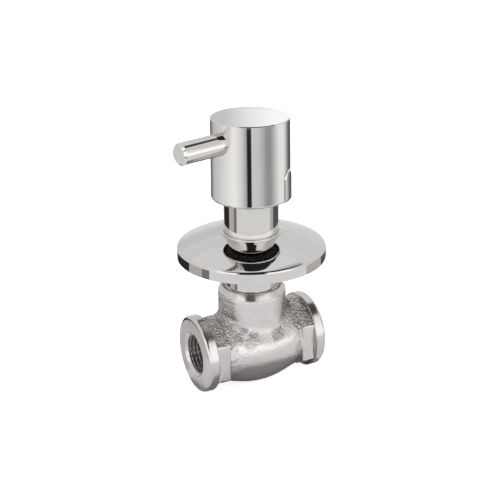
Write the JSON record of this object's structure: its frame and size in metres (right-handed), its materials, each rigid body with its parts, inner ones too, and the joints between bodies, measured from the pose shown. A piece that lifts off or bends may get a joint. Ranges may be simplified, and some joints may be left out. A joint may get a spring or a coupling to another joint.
{
  "type": "concealed stop valve",
  "caption": "Chromed shut-off valve for building into a wall, with half-inch threaded ends, long sleeve, sliding wall flange and lever knob.",
  "frame": {"origin": "on the pipe's axis, where the thread of the inlet port starts, 1.2 mm inside its end face", "axes": "+X along the pipe from inlet to outlet, +Z along the spindle towards the knob"},
  "size_m": [0.0753, 0.07, 0.1315],
  "materials": {
    "cast_chrome": "chrome plating over rough sand-cast brass",
    "polished_chrome": "polished chrome plating",
    "brass": "turned brass",
    "steel": "plain steel",
    "ceramic": "lapped alumina",
    "rubber": "matt black nitrile rubber",
    "foam": "closed-cell foam",
    "nylon": "natural nylon",
    "black_nylon": "black nylon"
  },
  "bodies": {
    "valve": {"valve_body": "cast_chrome", "seat_seal": "rubber", "fixed_disc": "ceramic", "cartridge_housing": "brass", "housing_washer": "rubber", "thrust_washer": "nylon", "sleeve_washer": "rubber", "sleeve": "polished_chrome", "extension_guide": "nylon"},
    "handle": {"moving_disc": "ceramic", "spindle": "brass", "lower_o_ring": "rubber", "upper_o_ring": "rubber", "stop_collar": "brass", "circlip": "steel", "extension_rod": "brass", "extension_screw": "steel", "knob": "polished_chrome", "knob_glide_ring": "black_nylon", "knob_insert": "nylon", "insert_screw": "steel", "knob_grub_screw": "steel", "lever": "polished_chrome", "screw_cover": "polished_chrome"},
    "flange": {"wall_flange": "polished_chrome", "flange_bush": "nylon", "flange_o_ring": "rubber", "wall_seal": "foam"}
  },
  "joints": [
    {"name": "handle_turn", "type": "hinge", "parent": "valve", "child": "handle", "pos_m": [0.03, 0, 0], "axis": [0, 0, 1], "range_deg": [0, 90]},
    {"name": "flange_slide", "type": "slide", "parent": "valve", "child": "flange", "axis": [0, 0, 1], "range_m": [-0.011, 0.016]}
  ]
}
